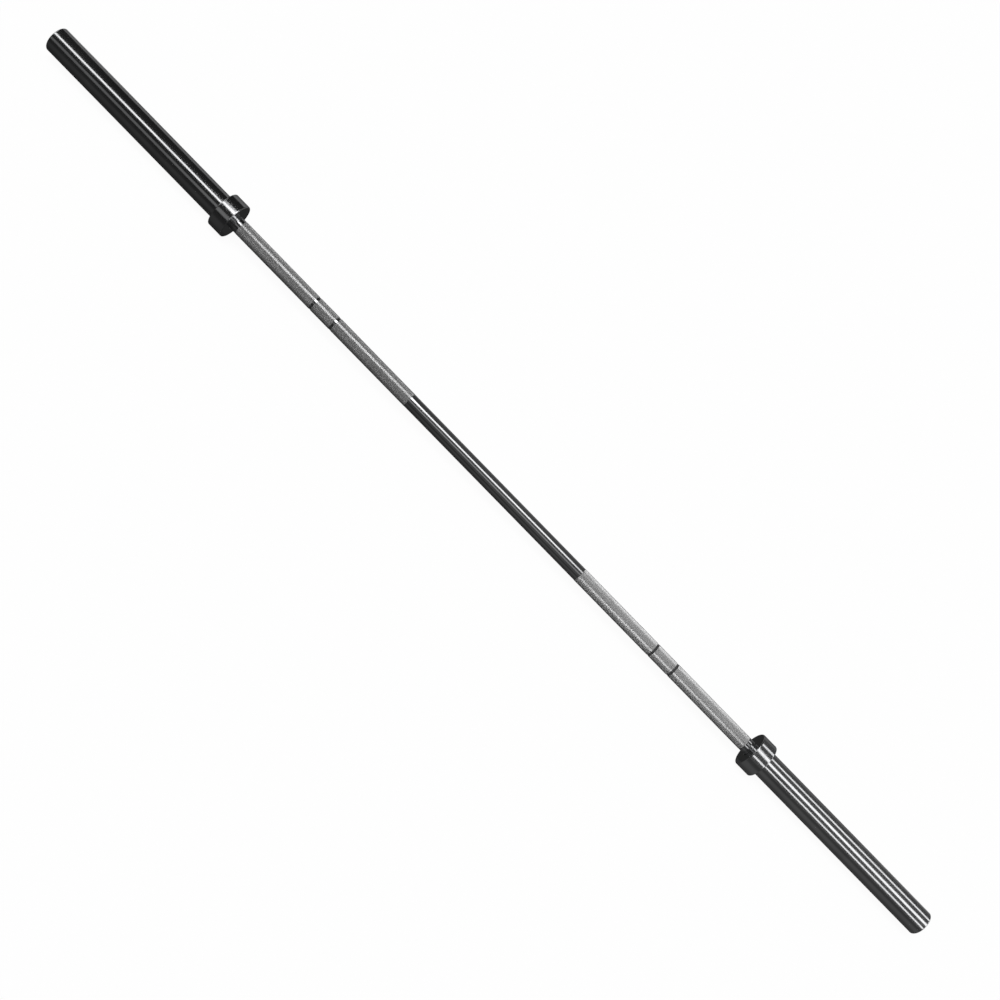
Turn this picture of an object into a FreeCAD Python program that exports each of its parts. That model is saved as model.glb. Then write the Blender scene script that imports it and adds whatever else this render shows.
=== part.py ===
import FreeCAD, Part
import math
import os

# The bar as a whole. X runs along the bar, Z is up, and the origin is the middle of the bar.
overall_length = 2200.0
grip_length = 1310.0
shaft_diameter = 28.5
sleeve_diameter = 50.0

# Grip: a smooth centre and two knurled bands, each parted by two plain marks.
smooth_centre_length = 434.0
knurl_stop = 15.0
knurl_rise = 0.2
inner_mark_spacing = 810.0
outer_mark_spacing = 910.0
mark_width = 5.0
mark_depth = 0.25

# Shaft ends: a shoulder, then the journal that the sleeve turns on.
shoulder_height = 1.75
journal_end_chamfer = 1.0
shaft_end_gap = 3.0
shaft_land = 3.0

# Shoulder collar: a cup on the sleeve tube's turned-down inner end, closed round the shaft by its face wall.
collar_diameter = 72.0
collar_width = 32.0
collar_wall = 5.0
collar_seat_step = 1.0
collar_bore_relief = 0.2
collar_edge_round = 2.0
collar_mouth_clearance = 0.5
collar_mouth_chamfer = 0.8

# Dust seal: a rubber ring of square section in the collar's mouth.
seal_section = 2.0
seal_side_room = 0.2

# Bushings, pressed into the sleeve tube with their flanges outward.
bushing_wall = 2.5
bushing_length = 40.0
bushing_flange = 3.0
bushing_chamfer = 0.8
running_clearance = 0.05

# Thrust washers, held axially between flange and shoulder or flange and snap ring.
washer_thickness = 2.0
washer_bore_clearance = 0.1
washer_rim_clearance = 0.5
thrust_gap = 0.3

# Sleeve tube: the bores at its ends are stepped out by shares of its wall.
flange_bore_share = 0.4
cap_bore_share = 0.6
sleeve_end_round = 2.5

# Snap ring in the shaft's groove.
shaft_ring_thickness = 1.2
shaft_ring_height = 3.0
shaft_ring_lug = 4.4
shaft_ring_hole = 2.0
shaft_ring_opening = 3.0
shaft_groove_depth = 0.55

# End cap and the snap ring that holds it in the sleeve.
cap_thickness = 6.0
cap_clearance = 0.1
cap_chamfer = 0.6
cap_dish_depth = 0.8
cap_dish_share = 0.62
cap_ring_inset = 3.0
cap_ring_thickness = 1.75
cap_ring_height = 4.1
cap_ring_lug = 5.9
cap_ring_hole = 2.5
cap_ring_opening = 8.0
cap_groove_depth = 1.25

# Both kinds of snap ring: thin near the opening, with round lugs.
ring_groove_clearance = 0.05
ring_thin_share = 0.6
lug_round_share = 0.48

# Cuts run past the surface that they open.
cut_overrun = 1.0
match_tolerance = 0.001

centre = FreeCAD.Vector(0, 0, 0)
along_bar = FreeCAD.Vector(1, 0, 0)
upward = FreeCAD.Vector(0, 0, 1)
full_turn = 360
half_turn = 180

# Radii, from the middle outward
shaft_radius = shaft_diameter / 2
journal_radius = shaft_radius - shoulder_height
bushing_bore = journal_radius + running_clearance
tube_bore = bushing_bore + bushing_wall
tube_radius = sleeve_diameter / 2
tube_wall = tube_radius - tube_bore
flange_radius = tube_bore + tube_wall * flange_bore_share
cap_bore = tube_bore + tube_wall * cap_bore_share
cap_radius = cap_bore - cap_clearance
cap_groove_radius = cap_bore + cap_groove_depth
washer_bore = journal_radius + washer_bore_clearance
washer_radius = flange_radius - washer_rim_clearance
shaft_groove_radius = journal_radius - shaft_groove_depth
collar_radius = collar_diameter / 2
collar_seat_radius = tube_radius - collar_seat_step
mouth_radius = shaft_radius + collar_mouth_clearance
seal_inner_radius = shaft_radius + running_clearance
seal_outer_radius = seal_inner_radius + seal_section
seal_groove_radius = seal_outer_radius + running_clearance

# Places along the right-hand end, from the collar's face outward
face_x = grip_length / 2
wall_x = face_x + collar_wall
shoulder_x = wall_x + thrust_gap
inner_washer_x = shoulder_x + washer_thickness
tube_start_x = inner_washer_x + thrust_gap
collar_end_x = face_x + collar_width
seal_x = face_x + (collar_wall - seal_section) / 2

# Places along the right-hand end, from the sleeve's end inward
end_x = overall_length / 2
cap_groove_width = cap_ring_thickness + 2 * ring_groove_clearance
cap_groove_x = end_x - cap_ring_inset - cap_groove_width
cap_ring_x = cap_groove_x + ring_groove_clearance
cap_x = cap_groove_x - cap_thickness
shaft_end_x = cap_x - shaft_end_gap
shaft_groove_width = shaft_ring_thickness + 2 * ring_groove_clearance
shaft_groove_x = shaft_end_x - shaft_land - shaft_groove_width
shaft_ring_x = shaft_groove_x + ring_groove_clearance
outer_washer_x = shaft_ring_x - washer_thickness
outer_flange_x = outer_washer_x - thrust_gap


def turned(outline):
    """Solid made by turning a closed outline of (x, radius) corners about the bar's axis."""
    corners = [FreeCAD.Vector(x, 0, radius) for x, radius in outline]
    section = Part.Face(Part.makePolygon(corners + corners[:1]))
    return section.revolve(centre, along_bar, full_turn)


def ring(x_low, x_high, inner_radius, outer_radius):
    """Plain ring about the bar's axis."""
    return turned([(x_low, inner_radius), (x_high, inner_radius), (x_high, outer_radius), (x_low, outer_radius)])


def rod(x_low, x_high, radius):
    """Plain round bar about the bar's axis."""
    return Part.makeCylinder(radius, x_high - x_low, FreeCAD.Vector(x_low, 0, 0), along_bar)


def round_edges(shape, places):
    """Circular edges of a turned shape at the given (x, radius) places."""
    found = []
    for edge in shape.Edges:
        if not isinstance(edge.Curve, Part.Circle):
            continue
        for x, radius in places:
            same_x = abs(edge.Curve.Center.x - x) < match_tolerance
            same_radius = abs(edge.Curve.Radius - radius) < match_tolerance
            if same_x and same_radius:
                found.append(edge)
    return found


def rounded(shape, radius, places):
    """Shape with the circular edges at the given places rounded."""
    return shape.makeFillet(radius, round_edges(shape, places))


def chamfered(shape, size, places):
    """Shape with the circular edges at the given places chamfered."""
    return shape.makeChamfer(size, round_edges(shape, places))


def make_shaft():
    """Grip with its knurled bands and plain marks, and a journal with a ring groove at each end."""
    shaft = rod(-shoulder_x, shoulder_x, shaft_radius)
    band_radius = shaft_radius + knurl_rise
    for side in (-1, 1):
        band_ends = sorted([side * smooth_centre_length / 2, side * (face_x - knurl_stop)])
        shaft = shaft.fuse(ring(band_ends[0], band_ends[1], shaft_radius / 2, band_radius))
        for spacing in (inner_mark_spacing, outer_mark_spacing):
            mark_x = side * spacing / 2
            mark = ring(
                mark_x - mark_width / 2, mark_x + mark_width / 2,
                shaft_radius - mark_depth, band_radius + cut_overrun,
            )
            shaft = shaft.cut(mark)
        journal = chamfered(
            rod(0, shaft_end_x, journal_radius), journal_end_chamfer, [(shaft_end_x, journal_radius)]
        )
        groove = ring(
            shaft_groove_x, shaft_groove_x + shaft_groove_width,
            shaft_groove_radius, journal_radius + cut_overrun,
        )
        journal = journal.cut(groove)
        if side < 0:
            journal = turned_round(journal)
        shaft = shaft.fuse(journal)
    return shaft.removeSplitter()


def make_sleeve_tube():
    """Tube with a bushing seat in each end, a collar seat round one and the cap's bore in the other."""
    flange_seat_x = tube_start_x + bushing_flange
    outer_seat_x = outer_flange_x - bushing_flange
    tube = turned([
        (tube_start_x, flange_radius),
        (flange_seat_x, flange_radius),
        (flange_seat_x, tube_bore),
        (outer_seat_x, tube_bore),
        (outer_seat_x, flange_radius),
        (cap_x, flange_radius),
        (cap_x, cap_bore),
        (cap_groove_x, cap_bore),
        (cap_groove_x, cap_groove_radius),
        (cap_groove_x + cap_groove_width, cap_groove_radius),
        (cap_groove_x + cap_groove_width, cap_bore),
        (end_x, cap_bore),
        (end_x, tube_radius),
        (collar_end_x, tube_radius),
        (collar_end_x, collar_seat_radius),
        (tube_start_x, collar_seat_radius),
    ])
    return rounded(tube, sleeve_end_round, [(end_x, tube_radius)])


def make_collar():
    """Collar with a seat for the tube, a pocket for the inner thrust washer and a groove for the seal."""
    groove_start_x = seal_x - seal_side_room
    groove_end_x = seal_x + seal_section + seal_side_room
    collar = turned([
        (face_x, mouth_radius),
        (groove_start_x, mouth_radius),
        (groove_start_x, seal_groove_radius),
        (groove_end_x, seal_groove_radius),
        (groove_end_x, mouth_radius),
        (wall_x, mouth_radius),
        (wall_x, flange_radius),
        (tube_start_x, flange_radius),
        (tube_start_x, collar_seat_radius),
        (collar_end_x, collar_seat_radius),
        (collar_end_x, collar_radius),
        (face_x, collar_radius),
    ])
    collar = rounded(collar, collar_edge_round, [(face_x, collar_radius), (collar_end_x, collar_radius)])
    collar = chamfered(collar, collar_mouth_chamfer, [(face_x, mouth_radius)])
    return chamfered(collar, collar_seat_step + collar_bore_relief, [(collar_end_x, collar_seat_radius)])


def make_bushing(flange_face_x, inward):
    """Flanged bushing whose flange face lies at flange_face_x and whose barrel runs the way inward points."""
    flange_back_x = flange_face_x + inward * bushing_flange
    barrel_end_x = flange_face_x + inward * bushing_length
    bushing = turned([
        (flange_face_x, bushing_bore),
        (barrel_end_x, bushing_bore),
        (barrel_end_x, tube_bore),
        (flange_back_x, tube_bore),
        (flange_back_x, flange_radius),
        (flange_face_x, flange_radius),
    ])
    return chamfered(bushing, bushing_chamfer, [(barrel_end_x, tube_bore)])


def make_snap_ring(x_low, thickness, seat_radius, height, lug, hole, opening, outward):
    """Retaining ring with its opening at the top: outward is 1 round a shaft and -1 in a bore."""
    thin = height * ring_thin_share
    free_radius = seat_radius + outward * (height + thin) / 2
    free_centre_z = -outward * (height - thin) / 2
    lug_radius = lug * lug_round_share
    lug_centre_radius = seat_radius + outward * (lug - lug_radius)

    def disc(radius, y, z):
        return Part.makeCylinder(radius, thickness, FreeCAD.Vector(x_low, y, z), along_bar)

    seat_disc = disc(seat_radius, 0, 0)
    free_disc = disc(free_radius, 0, free_centre_z)
    snap_ring = free_disc.cut(seat_disc) if outward > 0 else seat_disc.cut(free_disc)
    lug_y = opening / 2 + lug_radius
    lug_z = math.sqrt(lug_centre_radius ** 2 - lug_y ** 2)
    slot_corner = FreeCAD.Vector(x_low, -opening / 2, 0)
    slot = Part.makeBox(thickness, opening, max(seat_radius, free_radius) + lug, slot_corner)
    snap_ring = snap_ring.cut(slot)
    for side in (-1, 1):
        snap_ring = snap_ring.fuse(disc(lug_radius, side * lug_y, lug_z))
        snap_ring = snap_ring.cut(disc(hole / 2, side * lug_y, lug_z))
    return snap_ring.removeSplitter()


def make_end_cap():
    """Turned disc with a shallow dish, seated on the ledge of the tube's outer bore."""
    cap = rod(cap_x, cap_groove_x, cap_radius)
    dish = rod(cap_groove_x - cap_dish_depth, cap_groove_x, cap_radius * cap_dish_share)
    cap = chamfered(cap, cap_chamfer, [(cap_x, cap_radius), (cap_groove_x, cap_radius)])
    return cap.cut(dish)


def turned_round(shape):
    """The same piece at the bar's other end."""
    other = shape.copy()
    other.rotate(centre, upward, half_turn)
    return other


right_end = {
    "sleeve_tube": make_sleeve_tube(),
    "shoulder_collar": make_collar(),
    "inner_bushing": make_bushing(tube_start_x, 1),
    "outer_bushing": make_bushing(outer_flange_x, -1),
    "inner_thrust_washer": ring(shoulder_x, inner_washer_x, washer_bore, washer_radius),
    "outer_thrust_washer": ring(outer_washer_x, shaft_ring_x, washer_bore, washer_radius),
    "shaft_snap_ring": make_snap_ring(
        shaft_ring_x, shaft_ring_thickness, shaft_groove_radius + ring_groove_clearance,
        shaft_ring_height, shaft_ring_lug, shaft_ring_hole, shaft_ring_opening, 1,
    ),
    "end_cap": make_end_cap(),
    "end_cap_snap_ring": make_snap_ring(
        cap_ring_x, cap_ring_thickness, cap_groove_radius - ring_groove_clearance,
        cap_ring_height, cap_ring_lug, cap_ring_hole, cap_ring_opening, -1,
    ),
    "dust_seal": ring(seal_x, seal_x + seal_section, seal_inner_radius, seal_outer_radius),
}

pieces = {"shaft": make_shaft()}
for name, shape in right_end.items():
    pieces["right_" + name] = shape
    pieces["left_" + name] = turned_round(shape)

os.makedirs("parts", exist_ok=True)
for name, shape in pieces.items():
    shape.exportStep("parts/" + name + ".step")
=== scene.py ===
import math

import bpy
import numpy as np
from mathutils import Matrix, Vector


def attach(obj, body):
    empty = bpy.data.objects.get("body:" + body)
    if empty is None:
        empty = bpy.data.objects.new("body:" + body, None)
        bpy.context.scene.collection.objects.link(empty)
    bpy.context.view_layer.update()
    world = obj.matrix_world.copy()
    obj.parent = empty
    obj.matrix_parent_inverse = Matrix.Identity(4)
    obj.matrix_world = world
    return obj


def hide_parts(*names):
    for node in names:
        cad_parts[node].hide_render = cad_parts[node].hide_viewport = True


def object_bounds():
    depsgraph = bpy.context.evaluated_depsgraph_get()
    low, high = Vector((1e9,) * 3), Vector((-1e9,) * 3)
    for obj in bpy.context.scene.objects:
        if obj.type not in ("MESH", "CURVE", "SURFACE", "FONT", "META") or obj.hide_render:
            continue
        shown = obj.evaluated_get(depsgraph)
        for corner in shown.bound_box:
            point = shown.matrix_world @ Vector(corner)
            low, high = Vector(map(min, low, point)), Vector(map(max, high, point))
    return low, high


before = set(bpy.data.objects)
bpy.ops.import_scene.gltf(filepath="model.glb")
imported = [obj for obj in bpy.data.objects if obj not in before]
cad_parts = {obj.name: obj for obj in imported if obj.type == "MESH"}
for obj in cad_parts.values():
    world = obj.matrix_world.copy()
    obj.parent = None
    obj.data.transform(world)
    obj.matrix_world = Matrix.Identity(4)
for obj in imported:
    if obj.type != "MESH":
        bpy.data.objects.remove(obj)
cad_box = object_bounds()

MM = 0.001

# The ends of the bar, with the sign of x there.
ENDS = {"left": -1, "right": 1}

# Sizes of the bar in millimetres, as in the CAD model. X runs along the bar.
SHAFT_R = 14.25
KNURL_R = 14.45
MARK_R = 14.0
JOURNAL_R = 12.5
SHAFT_GROOVE_R = 11.95
SMOOTH_END = 217.0
KNURL_END = 640.0
MARKS = (405.0, 455.0)
MARK_HALF = 2.5
SHOULDER_X = 660.3
SHAFT_GROOVE = (1081.85, 1083.15)
SHAFT_END = 1086.15
JOURNAL_CHAMFER = 1.0

TUBE_R = 25.0
TUBE_BORE = 15.05
FLANGE_R = 19.03
CAP_BORE = 21.02
CAP_GROOVE_R = 22.27
SEAT_R = 24.0
TUBE_START = 662.6
FLANGE_SEAT = 665.6
OUTER_SEAT = 1076.6
CAP_X = 1089.15
CAP_GROOVE = (1095.15, 1097.0)
TUBE_END = 1100.0
TUBE_END_ROUND = 2.5

COLLAR_R = 36.0
COLLAR_FACE = 655.0
COLLAR_WALL = 660.0
COLLAR_END = 687.0
COLLAR_ROUND = 2.0
MOUTH_R = 14.75
MOUTH_CHAMFER = 0.8
SEAL_GROOVE_R = 16.35
SEAL_GROOVE = (656.3, 658.7)
BORE_CHAMFER = 1.2

# Small edge breaks that a turned edge has.
EDGE_BREAK = 0.35
FINE_BREAK = 0.12

# Knurl: diamonds with flat tops between two crossing sets of grooves.
KNURL_ROUND = 60
KNURL_HELIX = math.radians(30)
KNURL_GROOVE_R = 14.195
KNURL_FLAT = 0.6
KNURL_CORE_R = 14.15
KNURL_INSIDE_R = 13.9

# How finely a turned piece is divided, and how its edges are shaded.
LATHE_SEGMENTS = 208
ROUND_STEPS = 7
SHARP_ANGLE = math.radians(28)
NORMAL_WEIGHT = 100

# Digits of a millimetre to which the knurl's corners are welded.
WELD_DIGITS = 5

# Texture map: rows of a turned piece and the share of the width that they fill, and rows of the knurl.
BAKE_MAP = "OFBake"
SLEEVE_ROWS = 2
SHAFT_ROWS = 5
ROW_FILL = 0.8
KNURL_ROW_SHARE = 0.46
KNURL_ROW_GAP = 0.01
HIDDEN_ROW_START = 0.95
HIDDEN_ROW_SHARE = 0.04


# Meshes


def arc(centre_x, centre_r, radius, start, end):
    """Points of an arc in the outline's plane. Angle 0 points along +X and 90 degrees outward."""
    angles = [math.radians(start + (end - start) * i / ROUND_STEPS) for i in range(ROUND_STEPS + 1)]
    return [(centre_x + radius * math.cos(a), centre_r + radius * math.sin(a)) for a in angles]


def on_cylinder(x, radius, turn):
    """Points in metres from x and radius in millimetres and the turn about the bar's axis."""
    x, radius, turn = np.broadcast_arrays(x, radius, turn)
    return np.stack([x, radius * np.cos(turn), radius * np.sin(turn)], -1) * MM


def at_end(points, side):
    """Points of the right end, turned half round about the vertical axis where the side is the left."""
    if side < 0:
        points[:, :2] *= -1
    return points


def add_object(name, data):
    obj = bpy.data.objects.new(name, data)
    bpy.context.scene.collection.objects.link(obj)
    return obj


def mesh_from(name, points, faces, corner_uv=None):
    """Mesh from points, lists of point numbers, and a place on the texture for each corner."""
    mesh = bpy.data.meshes.new(name)
    mesh.vertices.add(len(points))
    mesh.vertices.foreach_set("co", np.asarray(points, np.float32).ravel())
    sizes = np.array([len(face) for face in faces], np.int32)
    mesh.loops.add(int(sizes.sum()))
    mesh.loops.foreach_set("vertex_index", np.concatenate([np.asarray(f, np.int32) for f in faces]))
    mesh.polygons.add(len(faces))
    starts = np.concatenate([[0], np.cumsum(sizes)[:-1]]).astype(np.int32)
    mesh.polygons.foreach_set("loop_start", starts)
    mesh.update(calc_edges=True)
    if corner_uv is not None:
        layer = mesh.uv_layers.new(name=BAKE_MAP)
        layer.uv.foreach_set("vector", np.asarray(corner_uv, np.float32).ravel())
    mesh.validate()
    return mesh


def lathe(name, outline, side=1, closed=True, rows=SLEEVE_ROWS):
    """Piece turned about the bar's axis from (x, radius) points in millimetres, outside first.

    A closed outline is a ring's section. An open one starts and ends on the axis. The texture map has the
    outline's length in rows, so that a long piece fills a square. Side -1 turns the piece to the other end.
    """
    count = len(outline)
    turns = np.arange(LATHE_SEGMENTS) * 2 * math.pi / LATHE_SEGMENTS
    points = []
    first = []
    for x, radius in outline:
        first.append(len(points))
        if radius > 0:
            points.extend(on_cylinder(x, radius, turns).tolist())
        else:
            points.append((x * MM, 0.0, 0.0))

    steps = [math.dist(outline[i], outline[(i + 1) % count]) for i in range(count)]
    if not closed:
        steps[-1] = 0.0
    total = sum(steps)
    faces = []
    uv = []
    along = 0.0
    row = 0
    row_start = 0.0
    for i in range(count if closed else count - 1):
        if row < rows - 1 and along + steps[i] / 2 > total * (row + 1) / rows:
            row += 1
            row_start = along
        u0 = (along - row_start) / total * rows * ROW_FILL
        u1 = (along + steps[i] - row_start) / total * rows * ROW_FILL
        along += steps[i]
        a = first[i]
        b = first[(i + 1) % count]
        for j in range(LATHE_SEGMENTS):
            k = (j + 1) % LATHE_SEGMENTS
            v0 = (row + j / LATHE_SEGMENTS) / rows
            v1 = (row + (j + 1) / LATHE_SEGMENTS) / rows
            if outline[i][1] > 0 and outline[(i + 1) % count][1] > 0:
                faces.append((a + j, a + k, b + k, b + j))
                uv.extend([(u0, v0), (u0, v1), (u1, v1), (u1, v0)])
            elif outline[i][1] > 0:
                faces.append((a + j, a + k, b))
                uv.extend([(u0, v0), (u0, v1), (u1, v0)])
            else:
                faces.append((a, b + k, b + j))
                uv.extend([(u0, v0), (u1, v1), (u1, v0)])
    mesh = mesh_from(name, at_end(np.array(points), side), faces, uv)
    mesh.shade_smooth()
    mesh.set_sharp_from_angle(angle=SHARP_ANGLE)
    obj = add_object(name, mesh)
    weighted = obj.modifiers.new("even_shading", "WEIGHTED_NORMAL")
    weighted.weight = NORMAL_WEIGHT
    weighted.keep_sharp = True
    return obj


def knurl_band(x_low, x_high):
    """Quads and triangles of one knurled band, with (x, turn, radius) for each corner, in millimetres."""
    pitch_turn = 2 * math.pi / KNURL_ROUND
    half_long = KNURL_R * pitch_turn / 2 / math.tan(KNURL_HELIX)
    rows = round((x_high - x_low) / half_long)
    half_long = (x_high - x_low) / rows
    half_turn = pitch_turn / 2
    columns = np.arange(KNURL_ROUND) * pitch_turn

    def corners(x, turn, radius):
        x, turn, radius = np.broadcast_arrays(x, turn, radius)
        return np.stack([x, turn, radius], -1)

    quads = []
    triangles = []
    for k in range(rows + 1):
        x = x_low + k * half_long
        turn = columns + (k % 2) * half_turn
        low_end = k == 0
        high_end = k == rows
        up = corners(x, turn + half_turn, KNURL_GROOVE_R)
        down = corners(x, turn - half_turn, KNURL_GROOVE_R)
        back = corners(x - half_long, turn, KNURL_GROOVE_R)
        ahead = corners(x + half_long, turn, KNURL_GROOVE_R)
        top_up = corners(x, turn + half_turn * KNURL_FLAT, KNURL_R)
        top_down = corners(x, turn - half_turn * KNURL_FLAT, KNURL_R)
        top_back = corners(x - half_long * KNURL_FLAT, turn, KNURL_R)
        top_ahead = corners(x + half_long * KNURL_FLAT, turn, KNURL_R)
        if not low_end:
            quads.append((back, top_back, top_down, down))
            quads.append((up, top_up, top_back, back))
        if not high_end:
            quads.append((down, top_down, top_ahead, ahead))
            quads.append((ahead, top_ahead, top_up, up))
        if low_end:
            triangles.append((top_down, top_up, top_ahead))
        elif high_end:
            triangles.append((top_down, top_back, top_up))
        else:
            triangles.append((top_back, top_up, top_ahead))
            triangles.append((top_back, top_ahead, top_down))
        if low_end or high_end:
            inner_up = corners(x, turn + half_turn, KNURL_INSIDE_R)
            inner_down = corners(x, turn - half_turn, KNURL_INSIDE_R)
            rim = (up, top_up, top_down, down)
            foot = (inner_up, up, down, inner_down)
            quads.append(rim[::-1] if high_end else rim)
            quads.append(foot[::-1] if high_end else foot)
    low_shift = -half_turn
    high_shift = (rows % 2) * half_turn - half_turn
    inner = [corners(x_low, columns + low_shift + i * pitch_turn, KNURL_INSIDE_R) for i in (0, 1)]
    outer = [corners(x_high, columns + high_shift + i * pitch_turn, KNURL_INSIDE_R) for i in (0, 1)]
    quads.append((inner[0], outer[0], outer[1], inner[1]))
    return [np.concatenate([np.stack(face, 1) for face in kind]) for kind in (quads, triangles)]


def knurl(name, side):
    """The knurled bands of one side of the grip, each a closed shell round the shaft's core."""
    stops = [SMOOTH_END]
    for mark in MARKS:
        stops += [mark - MARK_HALF, mark + MARK_HALF]
    stops.append(KNURL_END)
    bands = [knurl_band(x_low, x_high) for x_low, x_high in zip(stops[::2], stops[1::2])]
    quads, triangles = [np.concatenate(kind) for kind in zip(*bands)]
    corner = np.concatenate([quads.reshape(-1, 3), triangles.reshape(-1, 3)])
    places = on_cylinder(corner[:, 0], corner[:, 2], corner[:, 1])
    points, which = np.unique(np.round(places / MM, WELD_DIGITS), axis=0, return_inverse=True)
    which = which.ravel()
    quad_corners = len(quads) * 4
    faces = list(which[:quad_corners].reshape(-1, 4)) + list(which[quad_corners:].reshape(-1, 3))

    split = MARKS[0]
    second = corner[:, 0] > split
    hidden = corner[:, 2] < KNURL_GROOVE_R - FINE_BREAK
    row_low = np.where(second, split, SMOOTH_END)
    row_long = np.where(second, KNURL_END - split, split - SMOOTH_END)
    turn_share = (corner[:, 1] + math.pi / KNURL_ROUND) / (2 * math.pi + 2 * math.pi / KNURL_ROUND)
    u = (corner[:, 0] - row_low) / row_long
    v = turn_share * KNURL_ROW_SHARE + second * (KNURL_ROW_SHARE + KNURL_ROW_GAP)
    v = np.where(hidden, HIDDEN_ROW_START + HIDDEN_ROW_SHARE * turn_share, v)
    mesh = mesh_from(name, at_end(points * MM, side), faces, np.stack([u, v], 1))
    mesh.shade_flat()
    return add_object(name, mesh)


# Materials

# The levels between which most of a noise lies, and the roughness of its finer layers.
NOISE_LOW = 0.3
NOISE_HIGH = 0.7
NOISE_ROUGHNESS = 0.55


class Nodes:
    """Adds nodes to the tree of a material or world, which is emptied first."""

    def __init__(self, owner):
        owner.use_nodes = True
        self.tree = owner.node_tree
        self.tree.nodes.clear()

    def add(self, kind):
        return self.tree.nodes.new(kind)

    def link(self, source, target):
        self.tree.links.new(source, target)

    def put(self, socket, value):
        """Sets a socket to a plain value or links it to another socket."""
        if isinstance(value, bpy.types.NodeSocket):
            self.link(value, socket)
        else:
            socket.default_value = value

    def place(self):
        """Object coordinates in metres."""
        return self.add("ShaderNodeTexCoord").outputs["Object"]

    def axes(self):
        """The x, y and z of the object coordinates."""
        split = self.add("ShaderNodeSeparateXYZ")
        self.link(self.place(), split.inputs[0])
        return split.outputs

    def math(self, operation, a, b=0.0):
        node = self.add("ShaderNodeMath")
        node.operation = operation
        self.put(node.inputs[0], a)
        self.put(node.inputs[1], b)
        return node.outputs[0]

    def ranged(self, value, low, high, to_low, to_high):
        """Value carried from one range to another, and held at its ends."""
        node = self.add("ShaderNodeMapRange")
        node.clamp = True
        self.put(node.inputs["Value"], value)
        node.inputs["From Min"].default_value = low
        node.inputs["From Max"].default_value = high
        node.inputs["To Min"].default_value = to_low
        node.inputs["To Max"].default_value = to_high
        return node.outputs["Result"]

    def share(self, value, low=NOISE_LOW, high=NOISE_HIGH):
        """0 up to low, 1 from high on."""
        return self.ranged(value, low, high, 0, 1)

    def seen(self):
        """1 for camera, glossy and transmission rays, otherwise 0."""
        rays = self.add("ShaderNodeLightPath").outputs
        share = rays["Is Camera Ray"]
        for kind in ("Is Glossy Ray", "Is Transmission Ray"):
            share = self.math("MAXIMUM", share, rays[kind])
        return share


class Surface(Nodes):
    """A material with one principled shader."""

    def __init__(self, name, metallic=0.0, specular=0.5):
        self.material = bpy.data.materials.new(name)
        super().__init__(self.material)
        output = self.add("ShaderNodeOutputMaterial")
        self.shader = self.add("ShaderNodeBsdfPrincipled")
        self.shader.inputs["Metallic"].default_value = metallic
        self.shader.inputs["Specular IOR Level"].default_value = specular
        self.link(self.shader.outputs["BSDF"], output.inputs["Surface"])

    def noise(self, scale, detail, stretch=(1, 1, 1)):
        mapping = self.add("ShaderNodeMapping")
        mapping.inputs["Scale"].default_value = stretch
        self.link(self.place(), mapping.inputs["Vector"])
        texture = self.add("ShaderNodeTexNoise")
        texture.inputs["Scale"].default_value = scale
        texture.inputs["Detail"].default_value = detail
        texture.inputs["Roughness"].default_value = NOISE_ROUGHNESS
        self.link(mapping.outputs["Vector"], texture.inputs["Vector"])
        return texture.outputs["Fac"]

    def cells(self, scale):
        """Distance to the nearest of many scattered points."""
        texture = self.add("ShaderNodeTexVoronoi")
        texture.inputs["Scale"].default_value = scale
        self.link(self.place(), texture.inputs["Vector"])
        return texture.outputs["Distance"]

    def blend(self, share, low, high):
        """Colour from low at share 0 to high at share 1."""
        node = self.add("ShaderNodeMix")
        node.data_type = "RGBA"
        sockets = {s.identifier: s for s in node.inputs}
        self.put(sockets["Factor_Float"], share)
        for identifier, colour in (("A_Color", low), ("B_Color", high)):
            plain = not isinstance(colour, bpy.types.NodeSocket)
            self.put(sockets[identifier], (*colour, 1.0) if plain else colour)
        return {s.identifier: s for s in node.outputs}["Result_Color"]

    def axis_distance(self):
        """Distance from the bar's axis in metres."""
        _, y, z = self.axes()
        square = self.math("ADD", self.math("MULTIPLY", y, y), self.math("MULTIPLY", z, z))
        return self.math("SQRT", square)

    def colour(self, value):
        self.put(self.shader.inputs["Base Color"], value)

    def roughness(self, value):
        self.put(self.shader.inputs["Roughness"], value)

    def metallic(self, value):
        self.put(self.shader.inputs["Metallic"], value)

    def bump(self, height, relief):
        """Fine relief of a height in metres."""
        node = self.add("ShaderNodeBump")
        node.inputs["Strength"].default_value = 1.0
        node.inputs["Distance"].default_value = relief
        self.link(height, node.inputs["Height"])
        self.link(node.outputs["Normal"], self.shader.inputs["Normal"])


class Glow(Nodes):
    """A material that shines, with a plain strength or one from a node."""

    def __init__(self, name, strength):
        self.material = bpy.data.materials.new(name)
        super().__init__(self.material)
        self.output = self.add("ShaderNodeOutputMaterial")
        self.emission = self.add("ShaderNodeEmission")
        self.strength(strength)
        self.surface(self.emission)

    def strength(self, value):
        self.put(self.emission.inputs["Strength"], value)

    def surface(self, shader):
        self.link(shader.outputs[0], self.output.inputs["Surface"])


# Finishes: tones are the darker and the lighter colour, rough is the range of roughness, relief is in metres.

CHROME_TONES = ((0.52, 0.525, 0.535), (0.60, 0.605, 0.61))
CHROME_HAIRS = (1400, 60, 60)
CHROME_RUBS_ACROSS = 420
CHROME_RUB_LOW = 0.4
CHROME_HAIR_SHARE = 0.55
CHROME_CLOUD_SHARE = 0.45
CHROME_RIPPLE = 2.0
CHROME_RELIEF = 0.0000025


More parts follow.
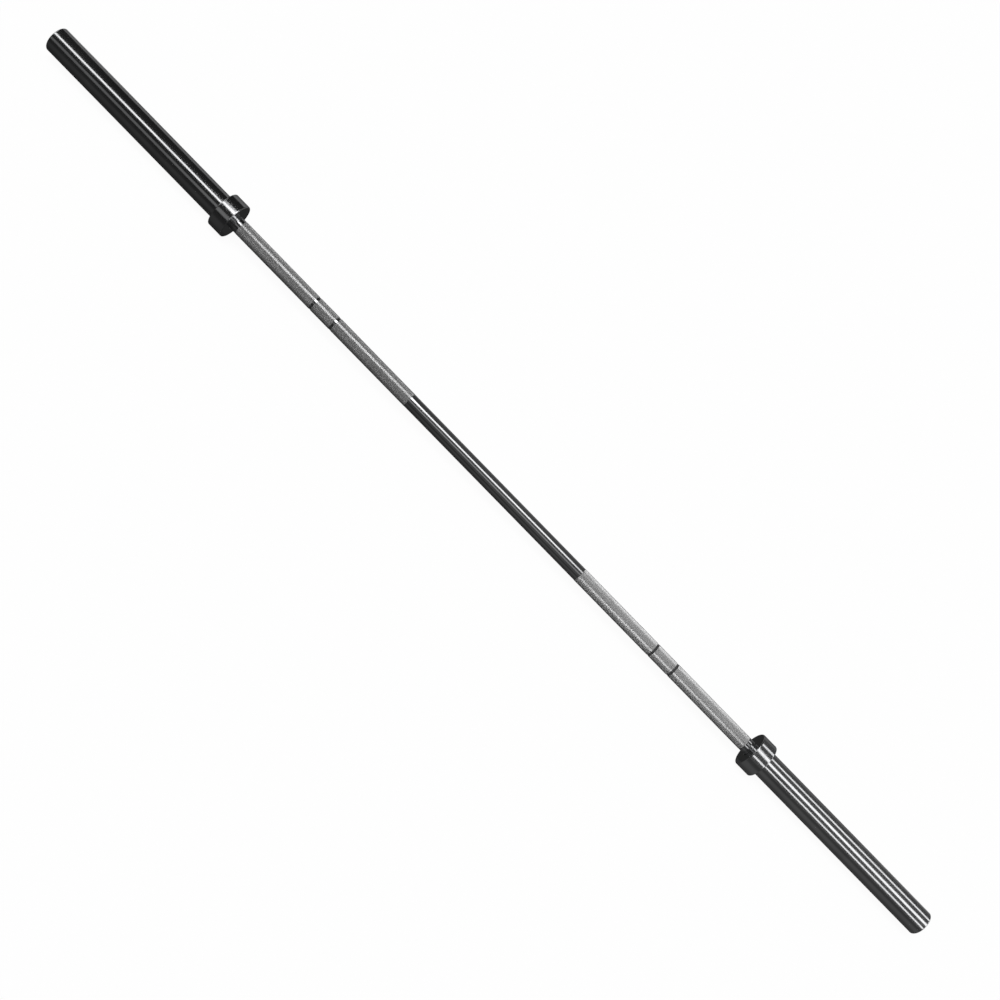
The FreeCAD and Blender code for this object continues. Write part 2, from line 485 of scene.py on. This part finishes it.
def chrome(name, rough, rubs_along):
    """Polished plate: faint hairlines from polishing, soft smudges, and a slight ripple."""
    s = Surface(name, metallic=1.0)
    hairs = s.noise(1.0, 2.0, CHROME_HAIRS)
    rubs = s.noise(1.0, 3.0, (rubs_along, CHROME_RUBS_ACROSS, CHROME_RUBS_ACROSS))
    smudge = s.noise(9.0, 4.0)
    tone = s.noise(26.0, 3.0)
    s.colour(s.blend(s.share(tone), *CHROME_TONES))
    rubbed = s.ranged(rubs, NOISE_LOW, NOISE_HIGH, CHROME_RUB_LOW, 1)
    marks = s.math("MULTIPLY", s.share(hairs, 0.35, 0.75), rubbed)
    cloud = s.share(smudge, 0.4, 0.75)
    mixed = s.math("ADD", s.math("MULTIPLY", marks, CHROME_HAIR_SHARE),
                   s.math("MULTIPLY", cloud, CHROME_CLOUD_SHARE))
    s.roughness(s.ranged(mixed, 0, 1, *rough))
    s.bump(s.math("ADD", hairs, s.math("MULTIPLY", smudge, CHROME_RIPPLE)), CHROME_RELIEF)
    return s.material


# Painted shade: the knurl's grooves are coloured darker than its tops, and deeper is darker.
KNURL_GROOVE_SHADE_TONES = ((0.44, 0.436, 0.427), (0.563, 0.563, 0.559))
KNURL_TOP_TONES = ((0.546, 0.55, 0.554), (0.616, 0.616, 0.62))
KNURL_TONE_CURVE = 0.7
KNURL_ROUGH = (0.62, 0.22)
KNURL_SPECK_ROUGH = (-0.03, 0.04)
KNURL_METAL_START = 0.5
KNURL_METAL = (0.52, 0.75)
KNURL_RELIEF = 0.00001


def knurled_chrome():
    """Plated knurl: worn tops, duller walls, and grooves painted darker with depth as shade, mottled at
    random.
    """
    s = Surface("knurled_chrome")
    height = s.share(s.axis_distance(), KNURL_GROOVE_R * MM, KNURL_R * MM)
    shade_mottle = s.noise(55.0, 4.0)
    speck = s.noise(900.0, 2.0)
    # Painted shade in the grooves, mottled at random and blended towards the tops by height.
    groove_shade = s.blend(s.share(shade_mottle, 0.35, 0.7), *KNURL_GROOVE_SHADE_TONES)
    top = s.blend(s.share(speck), *KNURL_TOP_TONES)
    s.colour(s.blend(s.math("POWER", height, KNURL_TONE_CURVE), groove_shade, top))
    uneven = s.ranged(speck, NOISE_LOW, NOISE_HIGH, *KNURL_SPECK_ROUGH)
    s.roughness(s.math("ADD", s.ranged(height, 0, 1, *KNURL_ROUGH), uneven))
    s.metallic(s.ranged(height, KNURL_METAL_START, 1, *KNURL_METAL))
    s.bump(speck, KNURL_RELIEF)
    return s.material


CAP_TONES = ((0.50, 0.505, 0.51), (0.60, 0.605, 0.61))
CAP_RING_PITCH = 0.00045
CAP_RING_WOBBLE = 2.0
CAP_ROUGH = (0.22, 0.32)
CAP_CLOUD_ROUGH = (-0.03, 0.05)
CAP_RELIEF = 0.000012


def turned_aluminium():
    """Cap face with the fine rings that a facing cut leaves."""
    s = Surface("turned_aluminium", metallic=1.0)
    turns = s.math("MULTIPLY", s.axis_distance(), 2 * math.pi / CAP_RING_PITCH)
    wobble = s.math("MULTIPLY", s.noise(120.0, 2.0), CAP_RING_WOBBLE)
    ring = s.math("SINE", s.math("ADD", turns, wobble))
    cloud = s.noise(40.0, 3.0)
    s.colour(s.blend(s.share(cloud), *CAP_TONES))
    uneven = s.ranged(cloud, NOISE_LOW, NOISE_HIGH, *CAP_CLOUD_ROUGH)
    s.roughness(s.math("ADD", s.ranged(ring, -1, 1, *CAP_ROUGH), uneven))
    s.bump(ring, CAP_RELIEF)
    return s.material


SPRING_METALLIC = 0.35
SPRING_TONES = ((0.018, 0.018, 0.019), (0.075, 0.074, 0.072))
SPRING_ROUGH = (0.36, 0.58)
SPRING_RELIEF = 0.00002


def black_spring_steel():
    """Phosphated spring steel: dark and matt with a mottled grain and rubbed high spots."""
    s = Surface("black_spring_steel", metallic=SPRING_METALLIC)
    grain = s.noise(2600.0, 3.0)
    mottle = s.noise(260.0, 4.0)
    s.colour(s.blend(s.share(mottle, 0.35, 0.75), *SPRING_TONES))
    s.roughness(s.ranged(grain, 0.25, 0.75, *SPRING_ROUGH))
    s.bump(grain, SPRING_RELIEF)
    return s.material


BRONZE_TONES = ((0.44, 0.25, 0.105), (0.60, 0.38, 0.175))
BRONZE_PORE_TONE = (0.10, 0.055, 0.025)
BRONZE_ROUGH = (0.28, 0.46)
BRONZE_RELIEF = 0.00003


def sintered_bronze():
    """Oil-filled bronze with open pores and darker oil stains."""
    s = Surface("sintered_bronze", metallic=1.0)
    pores = s.cells(2200.0)
    stain = s.noise(90.0, 4.0)
    body = s.blend(s.share(stain, 0.3, 0.75), *BRONZE_TONES)
    s.colour(s.blend(s.share(pores, 0, 0.28), BRONZE_PORE_TONE, body))
    s.roughness(s.ranged(stain, NOISE_LOW, NOISE_HIGH, *BRONZE_ROUGH))
    s.bump(s.share(pores, 0, 0.3), BRONZE_RELIEF)
    return s.material


WASHER_TONES = ((0.36, 0.365, 0.38), (0.52, 0.52, 0.53))
WASHER_LINES = (300, 2600, 160)
WASHER_CROSS_LINES = (300, 160, 2600)
WASHER_ROUGH = (0.24, 0.42)
WASHER_RELIEF = 0.00001


def ground_steel():
    """Hard washer steel with crossed grinding lines."""
    s = Surface("ground_steel", metallic=1.0)
    lines = s.noise(1.0, 2.0, WASHER_LINES)
    cross = s.noise(1.0, 2.0, WASHER_CROSS_LINES)
    stain = s.noise(150.0, 3.0)
    both = s.math("MULTIPLY", s.math("ADD", lines, cross), 0.5)
    s.colour(s.blend(s.share(stain), *WASHER_TONES))
    s.roughness(s.ranged(both, NOISE_LOW, NOISE_HIGH, *WASHER_ROUGH))
    s.bump(both, WASHER_RELIEF)
    return s.material


RUBBER_SPECULAR = 0.35
RUBBER_TONES = ((0.014, 0.014, 0.015), (0.06, 0.058, 0.055))
RUBBER_ROUGH = (0.5, 0.72)
RUBBER_RELIEF = 0.00003


def seal_rubber():
    """Moulded nitrile rubber with a dusty, slightly pitted skin."""
    s = Surface("seal_rubber", specular=RUBBER_SPECULAR)
    skin = s.noise(1900.0, 3.0)
    dust = s.noise(140.0, 4.0)
    s.colour(s.blend(s.share(dust, 0.4, 0.8), *RUBBER_TONES))
    s.roughness(s.ranged(skin, NOISE_LOW, NOISE_HIGH, *RUBBER_ROUGH))
    s.bump(skin, RUBBER_RELIEF)
    return s.material


# The shaft and its knurl

SHAFT_ROUGH = (0.12, 0.19)
SHAFT_RUBS_ALONG = 30
SLEEVE_ROUGH = (0.13, 0.20)
SLEEVE_RUBS_ALONG = 6

shaft_right = [
    (SMOOTH_END - FINE_BREAK, SHAFT_R),
    (SMOOTH_END, SHAFT_R - FINE_BREAK),
    (SMOOTH_END, KNURL_CORE_R),
]
for mark in MARKS:
    shaft_right += [
        (mark - MARK_HALF, KNURL_CORE_R),
        (mark - MARK_HALF, MARK_R),
        (mark + MARK_HALF, MARK_R),
        (mark + MARK_HALF, KNURL_CORE_R),
    ]
shaft_right += [
    (KNURL_END, KNURL_CORE_R),
    (KNURL_END, SHAFT_R - FINE_BREAK),
    (KNURL_END + FINE_BREAK, SHAFT_R),
    (SHOULDER_X - FINE_BREAK, SHAFT_R),
    (SHOULDER_X, SHAFT_R - FINE_BREAK),
    (SHOULDER_X, JOURNAL_R),
    (SHAFT_GROOVE[0], JOURNAL_R),
    (SHAFT_GROOVE[0], SHAFT_GROOVE_R),
    (SHAFT_GROOVE[1], SHAFT_GROOVE_R),
    (SHAFT_GROOVE[1], JOURNAL_R),
    (SHAFT_END - JOURNAL_CHAMFER, JOURNAL_R),
    (SHAFT_END, JOURNAL_R - JOURNAL_CHAMFER),
    (SHAFT_END, 0.0),
]
shaft_left = [(-x, r) for x, r in reversed(shaft_right)]

shaft_chrome = chrome("shaft_chrome", SHAFT_ROUGH, SHAFT_RUBS_ALONG)
sleeve_chrome = chrome("sleeve_chrome", SLEEVE_ROUGH, SLEEVE_RUBS_ALONG)
knurl_chrome = knurled_chrome()

shaft = lathe("shaft_bar", shaft_left + shaft_right, closed=False, rows=SHAFT_ROWS)
shaft.data.materials.append(shaft_chrome)
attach(shaft, "shaft")
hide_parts("shaft")

for end, side in ENDS.items():
    band = knurl(end + "_knurl", side)
    band.data.materials.append(knurl_chrome)
    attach(band, "shaft")

# The sleeves: tube and shoulder collar

tube_outline = [
    (TUBE_START, SEAT_R - EDGE_BREAK),
    (TUBE_START + EDGE_BREAK, SEAT_R),
    (COLLAR_END, SEAT_R),
    (COLLAR_END, TUBE_R),
    *arc(TUBE_END - TUBE_END_ROUND, TUBE_R - TUBE_END_ROUND, TUBE_END_ROUND, 90, 0),
    (TUBE_END, CAP_BORE + EDGE_BREAK),
    (TUBE_END - EDGE_BREAK, CAP_BORE),
    (CAP_GROOVE[1], CAP_BORE),
    (CAP_GROOVE[1], CAP_GROOVE_R),
    (CAP_GROOVE[0], CAP_GROOVE_R),
    (CAP_GROOVE[0], CAP_BORE),
    (CAP_X, CAP_BORE),
    (CAP_X, FLANGE_R),
    (OUTER_SEAT, FLANGE_R),
    (OUTER_SEAT, TUBE_BORE),
    (FLANGE_SEAT, TUBE_BORE),
    (FLANGE_SEAT, FLANGE_R),
    (TUBE_START, FLANGE_R),
]
collar_outline = [
    (COLLAR_FACE, MOUTH_R + MOUTH_CHAMFER),
    *arc(COLLAR_FACE + COLLAR_ROUND, COLLAR_R - COLLAR_ROUND, COLLAR_ROUND, 180, 90),
    *arc(COLLAR_END - COLLAR_ROUND, COLLAR_R - COLLAR_ROUND, COLLAR_ROUND, 90, 0),
    (COLLAR_END, SEAT_R + BORE_CHAMFER),
    (COLLAR_END - BORE_CHAMFER, SEAT_R),
    (TUBE_START, SEAT_R),
    (TUBE_START, FLANGE_R),
    (COLLAR_WALL, FLANGE_R),
    (COLLAR_WALL, MOUTH_R),
    (SEAL_GROOVE[1], MOUTH_R),
    (SEAL_GROOVE[1], SEAL_GROOVE_R),
    (SEAL_GROOVE[0], SEAL_GROOVE_R),
    (SEAL_GROOVE[0], MOUTH_R),
    (COLLAR_FACE + MOUTH_CHAMFER, MOUTH_R),
]

sleeve_pieces = []
for end, side in ENDS.items():
    for part, outline in (("sleeve_tube", tube_outline), ("shoulder_collar", collar_outline)):
        piece = lathe(end + "_" + part + "_chrome", outline, side)
        piece.data.materials.append(sleeve_chrome)
        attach(piece, end + "_sleeve")
        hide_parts(end + "_" + part)
        sleeve_pieces.append(piece.name)

# The other pieces keep their CAD shape

finishes = {
    "inner_bushing": sintered_bronze(),
    "inner_thrust_washer": ground_steel(),
    "shaft_snap_ring": black_spring_steel(),
    "end_cap": turned_aluminium(),
    "dust_seal": seal_rubber(),
}
finishes["outer_bushing"] = finishes["inner_bushing"]
finishes["outer_thrust_washer"] = finishes["inner_thrust_washer"]
finishes["end_cap_snap_ring"] = finishes["shaft_snap_ring"]
for end in ENDS:
    for part, finish in finishes.items():
        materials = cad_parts[end + "_" + part].data.materials
        if materials:
            materials[0] = finish
        else:
            materials.append(finish)

# Camera: it looks at the bar from the front and above, and is rolled so that the bar runs down to the right.
# BAR_ACROSS and BAR_DOWN are the bar's direction in the picture.

CAMERA_DISTANCE = 2.2
CAMERA_ELEVATION = math.radians(37)
CAMERA_FOOT_X = -0.043
CAMERA_REACH = 200.0
AIM_X = 0.022
AIM_BELOW = 0.00875
FOCAL = 44.5
SENSOR_WIDTH = 36.0
BAR_ACROSS = 0.69880
BAR_DOWN = 0.71532

ALONG = Vector((1, 0, 0))
TO_CAMERA = Vector((0, -math.cos(CAMERA_ELEVATION), math.sin(CAMERA_ELEVATION)))
ABOVE_CAMERA = Vector((0, math.sin(CAMERA_ELEVATION), math.cos(CAMERA_ELEVATION)))

camera_data = bpy.data.cameras.new("photo_camera")
camera_data.lens = FOCAL
camera_data.sensor_width = SENSOR_WIDTH
camera_data.clip_end = CAMERA_REACH
camera = add_object("photo_camera", camera_data)
stand = ALONG * CAMERA_FOOT_X + TO_CAMERA * CAMERA_DISTANCE
aim = ALONG * AIM_X - ABOVE_CAMERA * AIM_BELOW
back = (stand - aim).normalized()
bar = (ALONG - back * ALONG.dot(back)).normalized()
over = back.cross(bar)
right = bar * BAR_ACROSS + over * BAR_DOWN
up = over * BAR_ACROSS - bar * BAR_DOWN
camera.matrix_world = Matrix.Translation(stand) @ Matrix((right, up, back)).transposed().to_4x4()
bpy.context.scene.camera = camera

# Studio: a pale floor and sky, soft lamps, and dark and bright cards that only the metal's reflections see.
# Lengths are in metres. Angles round the bar are in degrees, up from the camera's direction.

FLOOR_Z = cad_box[0][2]
FLOOR_HALF = 40.0
FLOOR_GREY = 0.1
FLOOR_GLOW = 0.95
SKY_LIGHT = 0.1
SKY_SEEN = 1.0

SUN_STRENGTH = 1.2
SUN_ANGLE = math.radians(40)
SUN_TILT = (math.radians(28), math.radians(-18), 0)

FILL_POWER = 32.0
FILL_PLACE = (-0.5, 1.5, 0.12)
FILL_AIM_X = -0.43
FILL_SIZE = 0.3
FILL_CONE = math.radians(38)
FILL_BLEND = 0.6

# The dark tent and the cloths on the floor: brightness at the left and right, and the x of both.
TENT_HALF = 8.0
TENT_R = 4.0
TENT_STEPS = 48
TENT_START = -3
TENT_SPAN = 186
TENT_LEVELS = (0.016, 0.085)
TENT_FADE = (-1.6, 0.0)
FRONT_LEVELS = (0.045, 0.098)
FRONT_FADE = (-0.6, 0.6)
NEAR_LEVEL = 0.03
NEAR_DEPTH = 0.12
BACK_LEVEL = 0.13
CLOTH_RISE = 0.0005

# Painted bands of light along the front cloth: how far in front of the bar, and the share of the cloth's
# brightness there.
LIGHT_BAND_DEPTH = 0.4
FRONT_LIGHT_BANDS = ((0.4, 0.5), (0.165, 0.56), (0.075, 1.0), (0.055, 0.95), (0.03, 0.58), (0.0, 0.5))
NEW_STOP = 0.5

# Pale cards that face the ends of the bar, and others on the floor beyond them.
END_CARD_HALF = 1.3
END_CARD_GAP = 0.1
END_CARD_STRENGTH = 0.9
END_FLOOR_X = (1.112, 2.0)
END_FLOOR_Y = (-0.02, 0.6)
END_FLOOR_STRENGTH = 0.6

# Strips: name, strength, stations of (x, angle, half the width in degrees), and the distance if it differs.
STRIP_DISTANCE = 1.5
MAIN_STRIPS = (
    ("main_strip_left", 1.75, ((-3.0, 17, 6.5), (-1.82, 25.5, 6.5), (-1.13, 30.5, 6.5))),
    ("main_strip_collar", 1.45, ((-1.13, 29, 7), (-1.03, 30, 7))),
    ("main_strip_grip", 3.7, ((-1.03, 34, 14), (-0.72, 38, 14), (-0.33, 42, 14))),
    ("main_strip_centre", 1.8, ((-0.33, 43, 9.5), (0.4, 48, 9.5))),
)
OTHER_STRIPS = (
    ("main_strip_right", 1.8, ((1.13, 28.5, 8.5), (2.2, 24.5, 8.5), (3.5, 21.5, 8.5))),
    ("low_strip_right", 1.6, ((1.06, -11.5, 4.8), (2.2, -16.5, 5.6), (3.5, -20.5, 5.6))),
    ("top_strip_right", 1.6, ((1.06, 75.5, 6.0), (2.2, 72.5, 6.5), (3.5, 69.5, 6.5))),
    ("low_strip_left", 0.165, ((-3.0, -29, 9), (-1.82, -21, 9), (-1.13, -17, 9))),
    ("low_strip_collar", 0.25, ((-1.13, -17, 11), (-1.03, -16, 11))),
    ("low_strip_grip", 0.165, ((-1.03, -16, 9), (-0.5, -8, 8))),
    ("low_strip_centre", 0.34, ((-0.5, -1, 8), (0.5, 4, 8))),
    ("top_strip_left", 0.2, ((-3.0, 112, 8), (-0.9, 116, 8))),
    ("back_glow", 0.16, ((-3.6, 130, 12), (3.6, 130, 12)), 3.0),
    ("side_card_right", 1.3, ((3.5, 56, 34), (7.5, 56, 34)), 3.2),
    ("side_card_left", 1.2, ((-3.5, 56, 34), (-7.5, 56, 34)), 3.2),
)

# Panels: name, strength, both ends in x, angle, half the width in degrees, the pieces that see it, and
# whether it lights their matt faces as well.
PANELS = (
    ("grip_low_right", 2.7, (0.36, 1.14), -45, 30, ["right_knurl"], False),
    ("grip_mid_right", 0.55, (0.36, 1.14), 36, 40, ["right_knurl"], True),
    ("grip_top_right", 1.7, (0.36, 1.14), 106, 29, ["right_knurl"], True),
    ("main_strip_bridge", 1.8, (0.4, 1.13), 34, 8.5, sleeve_pieces, False),
)

QUAD = [(0, 1, 2, 3)]


def rectangle(xs, ys):
    """The corners in order, from the lowest and highest of both axes."""
    return [(xs[0], ys[0]), (xs[1], ys[0]), (xs[1], ys[1]), (xs[0], ys[1])]


def make_world():
    """Sky that looks white and gives little light of its own."""
    world = bpy.data.worlds.new("studio")
    bpy.context.scene.world = world
    nodes = Nodes(world)
    output = nodes.add("ShaderNodeOutputWorld")
    mix = nodes.add("ShaderNodeMixShader")
    nodes.link(nodes.seen(), mix.inputs[0])
    for slot, strength in ((1, SKY_LIGHT), (2, SKY_SEEN)):
        background = nodes.add("ShaderNodeBackground")
        background.inputs["Color"].default_value = (1, 1, 1, 1)
        background.inputs["Strength"].default_value = strength
        nodes.link(background.outputs[0], mix.inputs[slot])
    nodes.link(mix.outputs[0], output.inputs["Surface"])


def make_floor():
    """Pale floor: a glow that is only seen, and a grey that takes the shadow."""
    reach = (-FLOOR_HALF, FLOOR_HALF)
    points = [(x, y, FLOOR_Z) for x, y in rectangle(reach, reach)]
    floor = add_object("floor", mesh_from("floor", points, QUAD))
    glow = Glow("pale_floor", FLOOR_GLOW)
    glow.strength(glow.math("MULTIPLY", glow.seen(), FLOOR_GLOW))
    diffuse = glow.add("ShaderNodeBsdfDiffuse")
    diffuse.inputs["Color"].default_value = (FLOOR_GREY, FLOOR_GREY, FLOOR_GREY, 1)
    both = glow.add("ShaderNodeAddShader")
    glow.link(glow.emission.outputs[0], both.inputs[0])
    glow.link(diffuse.outputs[0], both.inputs[1])
    glow.surface(both)
    floor.data.materials.append(glow.material)


def light_only(lamp, pieces):
    """Keeps a lamp's light to the pieces given."""
    lit = bpy.data.collections.new(lamp.name + "_lights")
    for piece in pieces:
        lit.objects.link(bpy.data.objects[piece])
    lamp.light_linking.receiver_collection = lit


def make_key():
    """Broad key light for matt surfaces. The metal reflects the strips, panels and cards instead."""
    sun = bpy.data.lights.new("soft_key", "SUN")
    sun.energy = SUN_STRENGTH
    sun.angle = SUN_ANGLE
    lamp = add_object("soft_key", sun)
    lamp.rotation_euler = SUN_TILT
    lamp.visible_glossy = False


def make_fill():
    """Soft lamp behind the left knurl. The floor doesn't see it, so no pool of light shows there."""
    spot = bpy.data.lights.new("left_back_fill", "SPOT")
    spot.energy = FILL_POWER
    spot.shadow_soft_size = FILL_SIZE
    spot.spot_size = FILL_CONE
    spot.spot_blend = FILL_BLEND
    lamp = add_object("left_back_fill", spot)
    lamp.location = FILL_PLACE
    lamp.rotation_euler = (Vector(FILL_PLACE) - ALONG * FILL_AIM_X).to_track_quat("Z", "Y").to_euler()
    lamp.visible_glossy = False
    lamp.visible_camera = False
    light_only(lamp, ["left_knurl"])


def reflection_card(name, points, faces, material):
    """A card that only reflections see."""
    card = add_object(name, mesh_from(name, points, faces))
    card.data.materials.append(material)
    card.visible_camera = False
    card.visible_diffuse = False
    card.visible_transmission = False
    card.visible_volume_scatter = False
    card.visible_shadow = False


def around(x, degrees, distance):
    """A point at a distance from the bar's axis, at an angle up from the camera's direction."""
    angle = math.radians(degrees)
    return ALONG * x + (TO_CAMERA * math.cos(angle) + ABOVE_CAMERA * math.sin(angle)) * distance


def light_strip(name, strength, stations, distance=STRIP_DISTANCE):
    """Bright card along the bar."""
    points = []
    for x, degrees, half in stations:
        points += [around(x, degrees - half, distance), around(x, degrees + half, distance)]
    faces = [(2 * i, 2 * i + 2, 2 * i + 3, 2 * i + 1) for i in range(len(stations) - 1)]
    reflection_card(name, points, faces, Glow(name, strength).material)


def light_panel(name, strength, reach, degrees, half, pieces, on_matt):
    """Bright flat panel in the reflections of the pieces given and, where asked for, on their matt faces."""
    panel = bpy.data.lights.new(name, "AREA")
    panel.shape = "RECTANGLE"
    panel.size = reach[1] - reach[0]
    panel.size_y = 2 * STRIP_DISTANCE * math.tan(math.radians(half))
    panel.energy = strength * math.pi * panel.size * panel.size_y
    lamp = add_object(name, panel)
    away = around(0, degrees, 1)
    place = around(sum(reach) / 2, degrees, STRIP_DISTANCE)
    turn = Matrix((ALONG, away.cross(ALONG), away)).transposed()
    lamp.matrix_world = Matrix.Translation(place) @ turn.to_4x4()
    lamp.visible_camera = False
    lamp.visible_diffuse = on_matt
    light_only(lamp, pieces)


def plain_cloth(name, level):
    """Cloth of one brightness, which isn't sampled as a lamp."""
    cloth = Glow(name, level)
    cloth.material.cycles.emission_sampling = "NONE"
    return cloth


def fading_cloth(name, levels, fade, light_bands=()):
    """Dark cloth, lighter towards the right, with painted bands of light along the bar where bands are given.
    """
    cloth = plain_cloth(name, levels[0])
    x, y, _ = cloth.axes()
    level = cloth.ranged(x, *fade, *levels)
    if light_bands:
        # Painted bands of light across the cloth, set by the distance in front of the bar.
        ramp = cloth.add("ShaderNodeValToRGB")
        ramp.color_ramp.interpolation = "EASE"
        stops = ramp.color_ramp.elements
        while len(stops) < len(light_bands):
            stops.new(NEW_STOP)
        for stop, (depth, share) in zip(stops, light_bands):
            stop.position = 1 - depth / LIGHT_BAND_DEPTH
            stop.color = (share, share, share, 1)
        cloth.link(cloth.share(y, -LIGHT_BAND_DEPTH, 0), ramp.inputs[0])
        level = cloth.math("MULTIPLY", level, ramp.outputs["Color"])
    cloth.strength(level)
    return cloth


def make_dark_surround():
    """Dark tent and floor cloths round the bar, with pale cards beyond each end of it."""
    points = []
    for i in range(TENT_STEPS + 1):
        angle = math.radians(TENT_START + TENT_SPAN * i / TENT_STEPS)
        for x in (-TENT_HALF, TENT_HALF):
            points.append((x, TENT_R * math.cos(angle), TENT_R * math.sin(angle)))
    faces = [(2 * i, 2 * i + 1, 2 * i + 3, 2 * i + 2) for i in range(TENT_STEPS)]
    faces += [tuple(range(0, len(points), 2)), tuple(range(1, len(points), 2))]
    tent = fading_cloth("dark_tent", TENT_LEVELS, TENT_FADE)
    reflection_card("dark_tent", points, faces, tent.material)

    cloths = (
        (fading_cloth("front_cloth", FRONT_LEVELS, FRONT_FADE, FRONT_LIGHT_BANDS), (-TENT_R, 0)),
        (plain_cloth("near_cloth", NEAR_LEVEL), (0, NEAR_DEPTH)),
        (plain_cloth("back_cloth", BACK_LEVEL), (NEAR_DEPTH, TENT_R)),
    )
    for cloth, ys in cloths:
        points = [(x, y, FLOOR_Z + CLOTH_RISE) for x, y in rectangle((-TENT_HALF, TENT_HALF), ys)]
        reflection_card(cloth.material.name, points, QUAD, cloth.material)

    for end, side in ENDS.items():
        face = rectangle((-END_CARD_HALF, END_CARD_HALF), (0, 2 * END_CARD_HALF))
        points = [(side * (TENT_HALF - END_CARD_GAP), y, z) for y, z in face]
        name = "end_card_" + end
        reflection_card(name, points, QUAD, Glow(name, END_CARD_STRENGTH).material)
        ground = rectangle(END_FLOOR_X, END_FLOOR_Y)
        points = [(side * x, y, FLOOR_Z + 2 * CLOTH_RISE) for x, y in ground]
        name = "end_floor_" + end
        reflection_card(name, points, QUAD, Glow(name, END_FLOOR_STRENGTH).material)


make_world()
make_floor()
make_key()
make_fill()
make_dark_surround()
for strip in MAIN_STRIPS:
    light_strip(*strip)
for panel in PANELS:
    light_panel(*panel)
for strip in OTHER_STRIPS:
    light_strip(*strip)

bpy.context.scene.view_settings.view_transform = "Standard"
